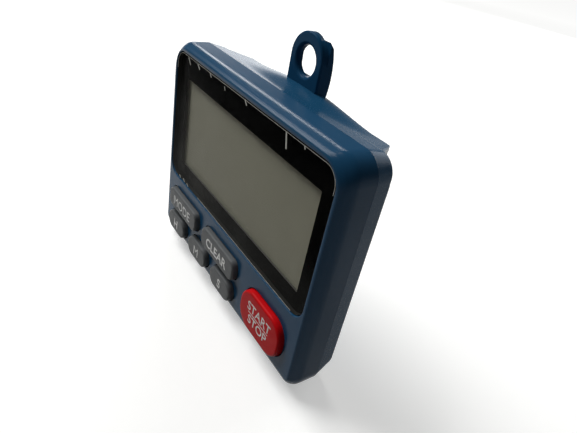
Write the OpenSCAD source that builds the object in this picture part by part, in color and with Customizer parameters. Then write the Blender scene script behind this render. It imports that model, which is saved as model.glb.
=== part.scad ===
// Digital kitchen timer: a small upright case with a wide display, six keys, a hanging loop and one AAA cell.
// Front faces -Y, up is +Z, the base rests on Z = 0. Depths are counted back from the front plane.

/* [Case] */
// Width of the case
body_w = 68.2; // [68:0.2:84]
// Height of the case without the loop
body_h = 55.75; // [55.25:0.25:66]
// Radius of the upper outer corners
corner_r = 4.7; // [4.5:0.1:5.5]
// Radius of the lower outer corners
corner_low_r = 5.5; // [5:0.1:6.5]
// Side wall thickness
wall = 1.2; // [1:0.1:1.3]
// Thickness of the bottom wall
low_wall = 2.4; // [2.2:0.1:2.6]
// Thickness of the front face
front_wall = 2; // [1.9:0.1:2.3]
// How far the front bevel runs outward
bevel_out = 1.1; // [0.8:0.05:1.2]
// How far the front bevel runs back
bevel_d = 2.3; // [2:0.1:2.6]
// Height of the lower edge of the front face over the base
chin_h = 4; // [3.6:0.1:4.1]
// Radius of the upper corners of the front face
face_r = 6; // [4.5:0.1:6]
// Radius of the lower corners of the front face
face_low_r = 1.2; // [0.8:0.1:2]
// Depth of the seam between the halves
seam_d = 6.8; // [6.7:0.1:7.4]
// Shadow groove at the seam
groove = 0.25; // [0.15:0.05:0.4]
// Depth of the back panel
panel_d = 11.6; // [11.4:0.1:12.6]
// Thickness of the back panel
panel_t = 1.4; // [1:0.1:1.5]
// Inward slope of the cover flanks
cover_slope = 0.24; // [0.14:0.01:0.25]
// Radius of the corners at the back panel
back_r = 5.5; // [4.5:0.1:6]
// Length of the locating lip of the cover
lip_l = 0.6; // [0.4:0.1:0.7]
// Thickness of the locating lip
lip_t = 0.8; // [0.6:0.1:1]
// Gap round the locating lip
lip_gap = 0.15; // [0.1:0.05:0.25]

/* [Display] */
// Width of the raised rim beside the lens
rim_w = 0.95; // [0.8:0.05:1.4]
// Height of the key field below the lens
key_field_h = 20.5; // [20.4:0.1:22]
// Corner radius of the lens
lens_r = 3.5; // [3.25:0.25:4.5]
// How far the lens lies below the front plane
lens_sink = 0.2; // [0.1:0.05:0.3]
// Thickness of the lens
lens_t = 1; // [0.8:0.05:1.1]
// Gap round the lens
lens_gap = 0.15; // [0.1:0.05:0.25]
// Thickness of the printed border
film_t = 0.1; // [0.05:0.05:0.15]
// Thickness of the adhesive frame
tape_t = 0.15; // [0.1:0.05:0.2]
// Black border beside the display window
border_side = 3.9; // [3.5:0.1:6]
// Black border above the display window
border_top = 6; // [5.5:0.1:8]
// Black border below the display window
border_low = 4.1; // [4:0.1:6]
// Thickness of each display glass
glass_t = 0.9; // [0.55:0.05:1]
// Thickness of the polarizer
polarizer_t = 0.2; // [0.1:0.05:0.3]
// Thickness of the reflector
reflector_t = 0.25; // [0.1:0.05:0.3]

/* [Keys] */
// How far the keys stand proud of the front plane
key_proud = 1.33; // [1:0.01:1.6]
// Travel of the keys
key_travel = 0.75; // [0.4:0.05:0.8]
// Gap round the keys
key_gap = 0.2; // [0.15:0.05:0.3]
// Inset of the rounded key edge
key_edge = 0.45; // [0.2:0.05:0.6]
// Depth of the rounded key edge
key_edge_d = 0.7; // [0.4:0.05:0.8]
// Thickness of the key ears behind the front face
ear_t = 0.8; // [0.6:0.1:1]
// Length of the key ears
ear_l = 0.7; // [0.5:0.05:0.8]
// Gap between the long keys
long_space = 3.8; // [3:0.1:5]
// Height of the long keys
long_key_h = 5.55; // [5:0.05:5.6]
// Corner radius of the long keys
long_key_r = 1.8; // [1:0.1:2.4]
// Gap between the short keys
short_space = 3.05; // [2.6:0.05:4]
// Height of the short keys
short_key_h = 5.45; // [5.3:0.05:5.6]
// Corner radius of the short keys
short_key_r = 2.6; // [1.5:0.1:2.6]
// Share of the key field that the start key takes
start_share = 0.2715; // [0.24:0.0005:0.28]
// Gap between the start key and the other keys
start_space = 4.9; // [4:0.1:6]
// Height of the start key
start_key_h = 10.3; // [9:0.1:10.6]
// Corner radius of the start key
start_key_r = 4.4; // [2:0.1:4.4]
// Distance from the case side to the keys
key_side = 5; // [4.7:0.1:5.3]
// Distance from the base to the lower key row
key_low = 4.55; // [4.5:0.05:4.6]
// Distance from the base to the upper key row
key_high = 11.6; // [11.5:0.05:11.6]
// Height of the middle of the start key
start_key_z = 11; // [10.8:0.05:11.2]
// Height of the rubber domes
dome_h = 1.45; // [1.4:0.05:2]
// Thickness of the rubber sheet
mat_t = 0.7; // [0.5:0.05:0.9]

/* [Battery] */
// Diameter of the cell
cell_dia = 10.5; // [10:0.1:10.5]
// Length of the cell with its nub
cell_l = 44.5; // [43.5:0.1:44.5]
// Room for the spring at the negative end
spring_l = 3.4; // [3.2:0.1:5]
// Side wall of the battery box
box_side = 1.1; // [1.1:0.1:1.6]
// Thickness of the battery well walls
well_t = 1; // [0.8:0.1:1]
// Thickness of the well floor
floor_t = 0.8; // [0.6:0.1:1.2]
// Thickness of the battery door
door_t = 1.5; // [1.4:0.1:2]
// Thickness of the door tongues
tongue_t = 0.75; // [0.6:0.05:0.8]
// Width of the door tongues
tongue_w = 0.9; // [0.6:0.05:0.9]
// Gap round the door
door_gap = 0.15; // [0.1:0.05:0.2]
// Travel of the battery door
door_travel = 10; // [6:1:11]

/* [Hanging loop] */
// Width of the loop
loop_w = 11; // [10:0.1:13]
// Radius of the hanging hole
loop_hole_r = 3.2; // [2.5:0.1:3.4]
// Height of the hole centre over the case top
loop_hole_z = 4.9; // [4.5:0.05:7]
// Height of the arch centre over the hole centre
loop_arch_up = 0.4; // [0:0.05:0.8]
// Depth of the loop front face
loop_d = 14.1; // [13.6:0.1:14.2]
// Thickness of the front layer of the loop
loop_front_t = 1.6; // [1.2:0.1:2]
// Whole thickness of the loop
loop_t = 3.3; // [2.8:0.1:3.3]
// Radius of the curved back of the loop
loop_back_r = 21.5; // [18:0.5:30]
// Crown radius of the loop pad, side to side
pad_r = 94; // [80:1:110]
// Crown radius of the loop pad, front to back
pad_round_r = 11; // [10:0.25:12]
// Drop of the loop pad below the level of the case top
pad_drop = 0.05; // [0:0.05:0.3]
// Width of the loop pad
pad_w = 42; // [42:0.5:46]

/* [Inside] */
// Thickness of the circuit board
board_t = 1; // [0.8:0.1:1.2]
// Radius of the case screw shanks
screw_r = 0.9; // [0.7:0.05:0.9]
// Radius of the case screw heads
screw_head_r = 1.9; // [1.6:0.05:1.9]
// Radius of the screw bosses
boss_r = 1.5; // [1.4:0.05:1.5]
// Radius of the sounder plate
piezo_r = 10; // [8:0.25:10.5]
// Thickness of the sounder plate
piezo_t = 0.25; // [0.15:0.05:0.3]
// Radius of the sound holes
sound_hole_r = 0.7; // [0.5:0.05:0.9]

/* [Hidden] */
$fn = 96;
eps = 0.02;
seat = 0.05;

// Depth chain at the display
recess_d = lens_sink + lens_t + film_t + tape_t;
lens_w = body_w - 2 * (bevel_out + rim_w) - 2 * lens_gap;
lens_z1 = body_h - bevel_out - rim_w - lens_gap;
lens_z0 = key_field_h + lens_gap;
lens_h = lens_z1 - lens_z0;
window_w = lens_w - 2 * border_side;
window_z0 = lens_z0 + border_low;
window_z1 = lens_z1 - border_top;
window_h = window_z1 - window_z0;
window_r = 0.3;
ledge_back = 0.6;
lcd_lap = 1.5;
lcd_w = window_w + 2 * lcd_lap;
lcd_z1 = window_z1 + 1.05;
lcd_z0 = window_z0 - 2.6;
lcd_rear_z0 = window_z0 - 0.3;
lcd_front_d = front_wall + polarizer_t;
lcd_rear_d = lcd_front_d + glass_t;
reflector_d = lcd_rear_d + glass_t;
lcd_d1 = reflector_d + reflector_t;
frame_gap = 0.2;
frame_t = 1;
frame_d1 = lcd_d1 + 0.1;

// Depth chain at the keys and the board
ear_d0 = front_wall + seat;
ear_d1 = ear_d0 + ear_t;
mat_d0 = ear_d1 + seat + dome_h;
board_d0 = mat_d0 + mat_t;
board_d1 = board_d0 + board_t;
board_low = 1.6;
board_z0 = low_wall + board_low;
dome_r = 2.6;
dome_top_r = 1.8;
dome_wall = 0.45;
dome_hollow = dome_h + mat_t - key_travel;
pad_print_t = 0.05;

// Depth chain at the battery
floor_d0 = lcd_d1 + 0.25;
well_d0 = floor_d0 + floor_t;
cell_r = cell_dia / 2;
cell_d = well_d0 + 0.2 + cell_r;
door_d0 = cell_d + cell_r + 0.1;
box_d = door_d0 + door_t;
plate_t = 0.3;
well_w = cell_l + spring_l + 2 * plate_t + 0.1;
well_h = cell_dia + 0.6;
box_w = well_w + 2 * box_side;
well_z1 = body_h - 4.7;
well_z0 = well_z1 - well_h;
cell_z = well_z0 + well_h / 2;
box_z0 = well_z0 - 3.15;
nub_r = 1.9;
nub_l = 1;
cell_x1 = well_w / 2 - plate_t - seat;
cell_x0 = cell_x1 - cell_l;
slide_gap = door_gap / 2;
door_w = well_w - 2 * tongue_w;
door_z1 = well_z1 + 0.7;
tongue_d1 = door_d0 + tongue_t;
tail_w = 3;
tail_l = 4;

// Front plane in model space: the whole depth is centred on Y = 0
front_y = -(box_d - key_proud) / 2;

// Slope of the cover
flank_d = seam_d + groove;
flank_in = cover_slope * (panel_d - flank_d);
function flank_z(d) = body_h - cover_slope * (d - flank_d);

// Screws and bosses
boss_d1 = board_d1 + 0.1;
top_screw_x = max(body_w / 2 - 5.9, well_w / 2 + well_t + boss_r + 0.9);
top_screw_z = body_h - 5.15;
low_screw_x = body_w / 2 - 4.6;
low_screw_z = key_field_h - 1.38;
board_screw_x = 11;
head_gap = 0.3;
head_t = 1.3;
head_seat_d = boss_d1 + 3;
screw_len = 6;
pilot_r = screw_r + 0.05;
board_head_t = 1;
board_screw_len = 3.4;
post_r = screw_head_r + head_gap + 0.6;
case_screw_at = [
    [top_screw_x, top_screw_z],
    [-top_screw_x, top_screw_z],
    [low_screw_x, low_screw_z],
    [-low_screw_x, low_screw_z]
];
board_screw_at = [[board_screw_x, low_screw_z], [-board_screw_x, low_screw_z]];

// Pieces on the board
part_gap = 0.95;
drum_r = 2.6;
drum_core_r = 2;
drum_rim_t = 0.6;
drum_h = panel_d - panel_t - board_d1 - part_gap;
drum_z = well_z0 - well_t - tail_l - part_gap - drum_r;
crystal_r = 1;
crystal_l = 6;
blob_r = 5.5;
blob_h = 1.5;
cap_l = 2;
cap_w = 1.2;
cap_h = 0.9;

// Sounder
piezo_z = (box_z0 + low_wall) / 2;
piezo_ring_t = 0.9;
piezo_d1 = panel_d - panel_t - 1.5;
piezo_d0 = piezo_d1 - piezo_t;
ceramic_t = 0.25;
ceramic_r = piezo_r * 0.7;
sound_ring_r = 4.5;
buzzer_wire_r = 0.18;
buzzer_coil_r = 1.3;
buzzer_turns = 2;

// Key widths from the width of the key field, in steps of a twentieth
function tidy(v) = round(v * 20) / 20;
field_w = body_w - 2 * key_side;
start_key_w = tidy(field_w * start_share);
group_w = field_w - start_key_w - start_space;
long_key_w = tidy((group_w - long_space) / 2);
long_key_pitch = long_key_w + long_space;
short_key_w = tidy((group_w - 2 * short_space) / 3);
short_key_pitch = short_key_w + short_space;

// Key places, each [x, z] of the middle
key_left = -body_w / 2 + key_side;
long_key_z = key_high + long_key_h / 2;
short_key_z = key_low + short_key_h / 2;
mode_at = [key_left + long_key_w / 2, long_key_z];
clear_at = [key_left + long_key_w / 2 + long_key_pitch, long_key_z];
hour_at = [key_left + short_key_w / 2, short_key_z];
minute_at = [key_left + short_key_w / 2 + short_key_pitch, short_key_z];
second_at = [key_left + short_key_w / 2 + 2 * short_key_pitch, short_key_z];
start_at = [body_w / 2 - key_side - start_key_w / 2, start_key_z];
key_spots = [mode_at, clear_at, hour_at, minute_at, second_at, start_at];

// Loop
loop_base_z = flank_z(loop_d + loop_t) - 0.6;
loop_hole_at = [0, body_h + loop_hole_z];
loop_arch_z = body_h + loop_hole_z + loop_arch_up;
loop_top_z = loop_arch_z + loop_w / 2;
loop_bar_drop = 0.85;
loop_side = 1.3;
loop_edge = 0.4;
loop_corner = 1.2;
loop_bar_t = 1.5;
loop_pocket = 0.1;
pad_top_d = loop_d - 1.1;
pad_z = body_h - pad_drop;

// Spring at the negative end
coil_wire_r = 0.25;
coil_r0 = 3.6;
coil_r1 = 2.2;
coil_turns = 3;
coil_sides = 8;
coil_steps = 24;

// Straight layer between two depths of a shape drawn in X and Z
module layer(d0, d1) {
    translate([0, front_y + d1, 0])
        rotate([90, 0, 0])
            linear_extrude(height = d1 - d0)
                children();
}

// Round bar between two depths, r0 at the front and r1 at the back
module bar(at, r0, r1, d0, d1) {
    translate([at[0], front_y + d1, at[1]])
        rotate([90, 0, 0])
            cylinder(h = d1 - d0, r1 = r1, r2 = r0);
}

// Box between two corners given as [x, depth, z]
module block(a, b) {
    translate([a[0], front_y + a[1], a[2]])
        cube([b[0] - a[0], b[1] - a[1], b[2] - a[2]]);
}

// Rounded rectangle about a middle point
module panel(at, w, h, r) {
    translate(at) {
        square([w - 2 * r, h], center = true);
        square([w, h - 2 * r], center = true);
        for (sx = [-1, 1])
            for (sz = [-1, 1])
                translate([sx * (w / 2 - r), sz * (h / 2 - r)])
                    circle(r = r);
    }
}

// Rounded slab whose sides flare evenly from the front depth to the back depth
module flare(at, w, h, r, grow, d0, d1) {
    half_x = w / 2 - r;
    half_z = h / 2 - r;
    for (sx = [-1, 1])
        for (sz = [-1, 1])
            bar([at[0] + sx * half_x, at[1] + sz * half_z], r, r + grow, d0, d1);
    translate([at[0], front_y, at[1] - half_z])
        linear_extrude(height = 2 * half_z)
            polygon([[-w / 2, d0], [w / 2, d0], [w / 2 + grow, d1], [-w / 2 - grow, d1]]);
    translate([at[0] - half_x, front_y, at[1]])
        rotate([90, 0, 90])
            linear_extrude(height = 2 * half_x)
                polygon([[d0, -h / 2], [d0, h / 2], [d1, h / 2 + grow], [d1, -h / 2 - grow]]);
}

// Rounded rectangle about x = 0 with its own radii above and below
module plate(w, z0, z1, r_top, r_low) {
    translate([-w / 2, z0 + r_low])
        square([w, z1 - r_top - z0 - r_low]);
    translate([-w / 2 + r_top, z1 - r_top - eps])
        square([w - 2 * r_top, r_top + eps]);
    translate([-w / 2 + r_low, z0])
        square([w - 2 * r_low, r_low + eps]);
    for (sx = [-1, 1]) {
        translate([sx * (w / 2 - r_top), z1 - r_top])
            circle(r = r_top);
        translate([sx * (w / 2 - r_low), z0 + r_low])
            circle(r = r_low);
    }
}

// The four corners of such a plate as thin discs, to span a skin between two plates
module corner_discs(w, z0, z1, r_top, r_low, d) {
    for (sx = [-1, 1]) {
        bar([sx * (w / 2 - r_top), z1 - r_top], r_top, r_top, d - eps, d);
        bar([sx * (w / 2 - r_low), z0 + r_low], r_low, r_low, d - eps, d);
    }
}

// Outline of the case, drawn in by an even inset
module outline(inset) {
    plate(body_w - 2 * inset, inset, body_h - inset, corner_r - inset, corner_low_r - inset);
}

// Outline of the hollow inside the walls, drawn in by an even inset
module cavity(inset) {
    plate(
        body_w - 2 * (wall + inset), low_wall + inset, body_h - wall - inset,
        corner_r - wall - inset, corner_low_r - wall - inset
    );
}

// Slab from z0 to z1 about x = 0
module band(w, z0, z1, r) {
    panel([0, (z0 + z1) / 2], w, z1 - z0, r);
}

function coil_mid(t, r0, r1, l, turns) =
    let (a = 360 * turns * t, r = r0 + (r1 - r0) * t)
    [r * cos(a), r * sin(a), l * t];

// Wound spring along +Z as one unbroken tube
module coil(r0, r1, l, turns, wire_r) {
    n = turns * coil_steps;
    rings = [
        for (i = [0 : n])
            let (
                a = 360 * turns * i / n,
                m = coil_mid(i / n, r0, r1, l, turns),
                out = [cos(a), sin(a), 0],
                slope = l / turns / (PI * (r0 + r1)),
                along = [-sin(a), cos(a), slope],
                up = cross(out, along / norm(along))
            )
            for (k = [0 : coil_sides - 1])
                m + wire_r * (cos(360 * k / coil_sides) * out + sin(360 * k / coil_sides) * up)
    ];
    skin = [
        for (i = [0 : n - 1])
            for (k = [0 : coil_sides - 1])
                let (
                    k2 = (k + 1) % coil_sides,
                    p = i * coil_sides + k,
                    q = i * coil_sides + k2,
                    s = p + coil_sides,
                    t = q + coil_sides
                )
                each [[p, q, t], [p, t, s]]
    ];
    first = [for (k = [1 : coil_sides - 2]) [0, k + 1, k]];
    last = [for (k = [1 : coil_sides - 2]) [n * coil_sides, n * coil_sides + k, n * coil_sides + k + 1]];
    polyhedron(points = rings, faces = concat(skin, first, last));
}

// Least gap of a wound spring to itself, measured on points at least half a turn apart
function coil_gap(r0, r1, l, turns, wire_r) =
    let (n = turns * coil_steps)
    min([
        for (i = [0 : n])
            for (j = [i + coil_steps / 2 : n])
                norm(coil_mid(i / n, r0, r1, l, turns) - coil_mid(j / n, r0, r1, l, turns))
    ]) - 2 * wire_r;

battery_coil_l = spring_l - 2 * coil_wire_r - 2 * seat;
buzzer_l0 = piezo_d0 - ceramic_t - board_d1 - 2 * buzzer_wire_r - 2 * seat;
buzzer_l1 = piezo_d0 - board_d1 - 2 * buzzer_wire_r - 2 * seat;
echo(battery_spring_gap = coil_gap(coil_r0, coil_r1, battery_coil_l, coil_turns, coil_wire_r));
echo(buzzer_spring_gap = coil_gap(buzzer_coil_r, buzzer_coil_r, buzzer_l0, buzzer_turns, buzzer_wire_r));

// Front half: bevelled shell with lens recess, display opening, key holes and screw bosses
module front_housing() {
    color("#3d6286")
    difference() {
        union() {
            difference() {
                union() {
                    hull() {
                        corner_discs(
                            body_w - 2 * bevel_out, chin_h, body_h - bevel_out, face_r, face_low_r, eps
                        );
                        corner_discs(body_w, 0, body_h, corner_r, corner_low_r, bevel_d);
                    }
                    layer(bevel_d - eps, seam_d)
                        outline(0);
                }
                layer(front_wall, seam_d + eps)
                    cavity(0);
            }
            for (at = case_screw_at)
                bar(at, boss_r, boss_r, front_wall - eps, boss_d1);
            for (at = board_screw_at)
                bar(at, boss_r, boss_r, front_wall - eps, board_d0);
        }
        layer(-eps, recess_d)
            band(lens_w + 2 * lens_gap, lens_z0 - lens_gap, lens_z1 + lens_gap, lens_r + lens_gap);
        layer(0, front_wall + eps)
            band(window_w + 2 * ledge_back, window_z0 - ledge_back, window_z1 + ledge_back, ledge_back);
        key_holes();
        for (at = case_screw_at)
            bar(at, pilot_r, pilot_r, front_wall, boss_d1 + eps);
        for (at = board_screw_at)
            bar(at, pilot_r, pilot_r, front_wall, board_d0 + eps);
    }
}

// Openings of the six keys
module key_holes() {
    layer(-eps, front_wall + eps) {
        for (at = [mode_at, clear_at])
            panel(at, long_key_w + 2 * key_gap, long_key_h + 2 * key_gap, long_key_r + key_gap);
        for (at = [hour_at, minute_at, second_at])
            panel(at, short_key_w + 2 * key_gap, short_key_h + 2 * key_gap, short_key_r + key_gap);
        panel(start_at, start_key_w + 2 * key_gap, start_key_h + 2 * key_gap, start_key_r + key_gap);
    }
}

// Crowned pad under the loop: a slice of a wide ring
module loop_pad() {
    intersection() {
        translate([0, front_y + pad_top_d, pad_z - pad_r])
            rotate([90, 0, 0])
                rotate_extrude($fn = 360)
                    translate([pad_r - pad_round_r, 0])
                        circle(r = pad_round_r);
        block([-pad_w / 2, flank_d, well_z1 + well_t], [pad_w / 2, box_d, pad_z + 1]);
    }
}

// Solid form of the cover before its openings
module cover_form() {
    layer(seam_d, flank_d + eps)
        outline(groove);
    hull() {
        corner_discs(body_w, 0, body_h, corner_r, corner_low_r, flank_d + eps);
        corner_discs(body_w - 2 * flank_in, flank_in, body_h - flank_in, back_r, back_r, panel_d);
    }
    block([-body_w / 2 + corner_low_r, flank_d, 0], [body_w / 2 - corner_low_r, panel_d, low_wall]);
    translate([-box_w / 2, front_y, 0])
        rotate([90, 0, 90])
            linear_extrude(height = box_w)
                polygon([
                    [panel_d - panel_t, box_z0], [box_d, box_z0],
                    [box_d, flank_z(box_d)], [panel_d - panel_t, flank_z(panel_d - panel_t)]
                ]);
    loop_pad();
}

// Hollow of the cover
module cover_hollow() {
    inner_in = cover_slope * (panel_d - panel_t - flank_d);
    hull() {
        corner_discs(
            body_w - 2 * wall, low_wall, body_h - wall,
            corner_r - wall, corner_low_r - wall, flank_d + eps
        );
        corner_discs(
            body_w - 2 * (wall + inner_in), low_wall + inner_in, body_h - wall - inner_in,
            back_r - wall, back_r - wall, panel_d - panel_t
        );
    }
    layer(seam_d - eps, flank_d + eps)
        cavity(0);
}

// Back half: sloping shell with battery box, well, posts, sounder ring and loop pad
module back_cover() {
    color("#4a5f66")
    difference() {
        union() {
            difference() {
                cover_form();
                cover_hollow();
            }
            // Locating lip that enters the front half
            layer(seam_d - lip_l, seam_d + eps)
                difference() {
                    cavity(lip_gap);
                    cavity(lip_gap + lip_t);
                }
            layer(seam_d, seam_d + lip_l)
                difference() {
                    outline(groove + wall / 2);
                    cavity(lip_gap + lip_t);
                }
            // Battery well
            block(
                [-well_w / 2 - well_t, floor_d0, well_z0 - well_t],
                [well_w / 2 + well_t, panel_d, well_z1 + well_t]
            );
            // Screw posts
            intersection() {
                for (at = case_screw_at)
                    bar(at, post_r, post_r, boss_d1, panel_d - panel_t + eps);
                layer(boss_d1 - 1, panel_d)
                    cavity(lip_gap);
            }
            // Sounder ring
            bar([0, piezo_z], piezo_r + piezo_ring_t, piezo_r + piezo_ring_t, piezo_d0, panel_d - panel_t + eps);
        }
        // Well, open to the back
        block([-well_w / 2, well_d0, well_z0], [well_w / 2, box_d + 1, well_z1]);
        // Channel of the sliding door
        block(
            [-well_w / 2 - slide_gap, door_d0 - slide_gap, box_z0 - 1],
            [well_w / 2 + slide_gap, tongue_d1 + slide_gap, door_z1 + slide_gap]
        );
        block(
            [-door_w / 2 - door_gap, door_d0 - slide_gap, box_z0 - 1],
            [door_w / 2 + door_gap, box_d + 1, door_z1 + slide_gap]
        );
        // Screw holes
        for (at = case_screw_at) {
            bar(at, pilot_r + 0.15, pilot_r + 0.15, boss_d1 - 1, head_seat_d + eps);
            bar(at, screw_head_r + head_gap, screw_head_r + head_gap, head_seat_d, panel_d + 1);
        }
        // Sounder chamber and sound holes
        bar([0, piezo_z], piezo_r + seat, piezo_r + seat, piezo_d0 - eps, piezo_d1);
        bar([0, piezo_z], piezo_r - piezo_ring_t, piezo_r - piezo_ring_t, piezo_d0 - eps, panel_d - panel_t);
        bar([0, piezo_z], sound_hole_r, sound_hole_r, piezo_d1, panel_d + 1);
        for (a = [0 : 60 : 300])
            bar(
                [sound_ring_r * cos(a), piezo_z + sound_ring_r * sin(a)],
                sound_hole_r, sound_hole_r, piezo_d1, panel_d + 1
            );
        // Slots for the contact tails
        for (sx = [-1, 1])
            block(
                [sx * (well_w / 2 - tail_w / 2 - seat) - tail_w / 2 - 0.15, board_d1 + seat - 0.1, well_z0 - 2 * well_t],
                [sx * (well_w / 2 - tail_w / 2 - seat) + tail_w / 2 + 0.15, board_d1 + seat + plate_t + 0.1, well_z0 + 1]
            );
        // Pocket of the loop, open to the back
        block(
            [-loop_w / 2 - loop_pocket, loop_d - loop_pocket, loop_base_z],
            [loop_w / 2 + loop_pocket, box_d + 1, body_h + 1]
        );
    }
}

// Arched eyelet with a plain front layer and a squarer back layer that opens wider behind the hole
module hanging_loop() {
    back_z = body_h + 2.5;
    bar_z1 = loop_top_z - loop_bar_drop;
    color("#47626f")
    difference() {
        union() {
            layer(loop_d, loop_d + loop_front_t) {
                translate([0, loop_arch_z])
                    circle(r = loop_w / 2);
                translate([-loop_w / 2, loop_base_z])
                    square([loop_w, loop_arch_z - loop_base_z]);
            }
            intersection() {
                difference() {
                    block([-loop_w / 2, loop_d + loop_front_t - eps, loop_base_z], [loop_w / 2, loop_d + loop_t, bar_z1]);
                    translate([0, front_y, body_h + loop_side])
                        linear_extrude(height = bar_z1 - loop_bar_t - body_h - loop_side)
                            polygon([
                                [-loop_w / 2 + loop_side, loop_d + loop_front_t],
                                [loop_w / 2 - loop_side, loop_d + loop_front_t],
                                [loop_w / 2 - loop_edge, loop_d + loop_t + eps],
                                [-loop_w / 2 + loop_edge, loop_d + loop_t + eps]
                            ]);
                    for (sx = [-1, 1])
                        translate([sx * loop_w / 2, 0, bar_z1])
                            rotate([0, 45, 0])
                                cube([loop_corner, 100, loop_corner], center = true);
                }
                translate([-loop_w, front_y + loop_d + loop_t - loop_back_r, back_z])
                    rotate([0, 90, 0])
                        cylinder(h = 2 * loop_w, r = loop_back_r);
            }
        }
        bar(loop_hole_at, loop_hole_r, loop_hole_r, loop_d - 1, loop_d + loop_front_t + 1);
    }
}

// Clear plate over the display
module display_lens() {
    color("#c8d0d4", 0.4)
    layer(lens_sink, lens_sink + lens_t)
        band(lens_w, lens_z0, lens_z1, lens_r);
}

// Black border printed behind the lens
module border_film() {
    color("#101214")
    layer(lens_sink + lens_t, lens_sink + lens_t + film_t)
        difference() {
            band(lens_w, lens_z0, lens_z1, lens_r);
            band(window_w, window_z0, window_z1, window_r);
        }
}

// Adhesive frame that holds the lens on its ledge
module lens_tape() {
    color("#d8d8d2")
    layer(recess_d - tape_t, recess_d)
        difference() {
            band(lens_w - 4 * lens_gap, lens_z0 + 2 * lens_gap, lens_z1 - 2 * lens_gap, lens_r);
            band(window_w + 4 * ledge_back, window_z0 - 2 * ledge_back, window_z1 + 2 * ledge_back, window_r);
        }
}

// Front polarizer of the display
module lcd_polarizer() {
    color("#6f7068")
    layer(front_wall, lcd_front_d)
        band(lcd_w - 2 * window_r, lcd_rear_z0, lcd_z1 - window_r, window_r);
}

// Front glass, longer below to carry the contact ledge
module lcd_front_glass() {
    color("#8f948c", 0.5)
    layer(lcd_front_d, lcd_rear_d)
        band(lcd_w, lcd_z0, lcd_z1, window_r);
}

// Rear glass of the display
module lcd_rear_glass() {
    color("#8f948c", 0.5)
    layer(lcd_rear_d, reflector_d)
        band(lcd_w, lcd_rear_z0, lcd_z1, window_r);
}

// Reflector behind the display
module lcd_reflector() {
    color("#76776a")
    layer(reflector_d, lcd_d1)
        band(lcd_w - 2 * window_r, lcd_rear_z0 + window_r, lcd_z1 - window_r, window_r);
}

// Holder round the display
module lcd_frame() {
    inner_w = lcd_w + 2 * frame_gap;
    color("#e2e2dc")
    difference() {
        layer(front_wall, frame_d1)
            difference() {
                band(inner_w + 2 * frame_t, lcd_z0 - frame_gap - frame_t, lcd_z1 + frame_gap + frame_t, frame_t);
                band(inner_w, lcd_z0 - frame_gap, lcd_z1 + frame_gap, window_r);
            }
        for (at = case_screw_at)
            bar(at, boss_r + frame_gap, boss_r + frame_gap, front_wall - 1, frame_d1 + 1);
    }
}

// Rubber connector between display and board
module zebra_strip() {
    color("#d9b8a8")
    block([-lcd_w / 2 + 3, lcd_rear_d, lcd_z0 + 0.2], [lcd_w / 2 - 3, board_d0, lcd_rear_z0 - 0.3]);
}

// Circuit board with screw holes and passages for the lower bosses
module circuit_board() {
    color("#2f6b3f")
    difference() {
        block(
            [-body_w / 2 + wall + lip_gap + 1, board_d0, board_z0],
            [body_w / 2 - wall - lip_gap - 1, board_d1, well_z0 - well_t - 1.2]
        );
        for (at = case_screw_at)
            bar(at, boss_r + 0.3, boss_r + 0.3, board_d0 - 1, board_d1 + 1);
        for (at = board_screw_at)
            bar(at, screw_r + 0.15, screw_r + 0.15, board_d0 - 1, board_d1 + 1);
    }
}

// Potted controller on the board
module controller_blob() {
    ball_r = (blob_r * blob_r + blob_h * blob_h) / (2 * blob_h);
    color("#15171a")
    translate([-board_screw_x, front_y + board_d1, low_screw_z + screw_head_r + blob_r + 2 * part_gap])
        rotate([-90, 0, 0])
            intersection() {
                translate([0, 0, blob_h - ball_r])
                    sphere(r = ball_r);
                cylinder(h = blob_h + 1, r = blob_r + 1);
            }
}

// Watch crystal lying on the board
module crystal() {
    color("#b8bcc0")
    translate([board_screw_x, front_y + board_d1 + crystal_r, drum_z + drum_r - crystal_r])
        rotate([0, 90, 0])
            cylinder(h = crystal_l, r = crystal_r);
}

// Drum coil that drives the sounder
module boost_coil() {
    color("#7a4a2a")
    translate([low_screw_x - 2 * drum_r - part_gap, front_y + board_d1, drum_z])
        rotate([-90, 0, 0]) {
            cylinder(h = drum_rim_t, r = drum_r);
            cylinder(h = drum_h, r = drum_core_r);
            translate([0, 0, drum_h - drum_rim_t])
                cylinder(h = drum_rim_t, r = drum_r);
        }
}

// Chip capacitors on the board
module board_capacitors() {
    first_x = -board_screw_x + blob_r + 2 * cap_w;
    low_z = low_screw_z + 3 * cap_l;
    color("#b59a72")
    for (i = [0 : 3])
        block(
            [first_x + i * 1.5 * cap_l, board_d1, low_z],
            [first_x + i * 1.5 * cap_l + cap_w, board_d1 + cap_h, low_z + cap_l]
        );
}

// Printed contacts under the domes
module contact_pads() {
    color("#c8a050")
    for (at = key_spots)
        bar(at, dome_top_r - 0.2, dome_top_r - 0.2, board_d0 - pad_print_t, board_d0);
}

// Rubber sheet with a hollow dome under each key
module key_mat() {
    color("#9a9c98")
    difference() {
        union() {
            block(
                [-body_w / 2 + wall + 1.8, mat_d0, low_wall + board_low - 0.2],
                [body_w / 2 - wall - 1.8, board_d0, low_screw_z - boss_r - 0.25]
            );
            for (at = key_spots)
                bar(at, dome_top_r, dome_r, ear_d1 + seat, mat_d0 + eps);
        }
        for (at = key_spots)
            bar(at, dome_top_r - dome_wall / 2, dome_r - dome_wall, board_d0 - dome_hollow, board_d0 + eps);
    }
}

// Key cap with a softened edge, two ears behind the front face and a flat back
module key_cap(at, w, h, r) {
    flare(at, w - 2 * key_edge, h - 2 * key_edge, r - key_edge, key_edge, -key_proud, -key_proud + key_edge_d);
    layer(-key_proud + key_edge_d, ear_d1)
        panel(at, w, h, r);
    block([at[0] - w / 2 - ear_l, ear_d0, at[1] - h / 4], [at[0] + w / 2 + ear_l, ear_d1, at[1] + h / 4]);
}

module mode_key() {
    color("#55585a")
    key_cap(mode_at, long_key_w, long_key_h, long_key_r);
}

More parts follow.
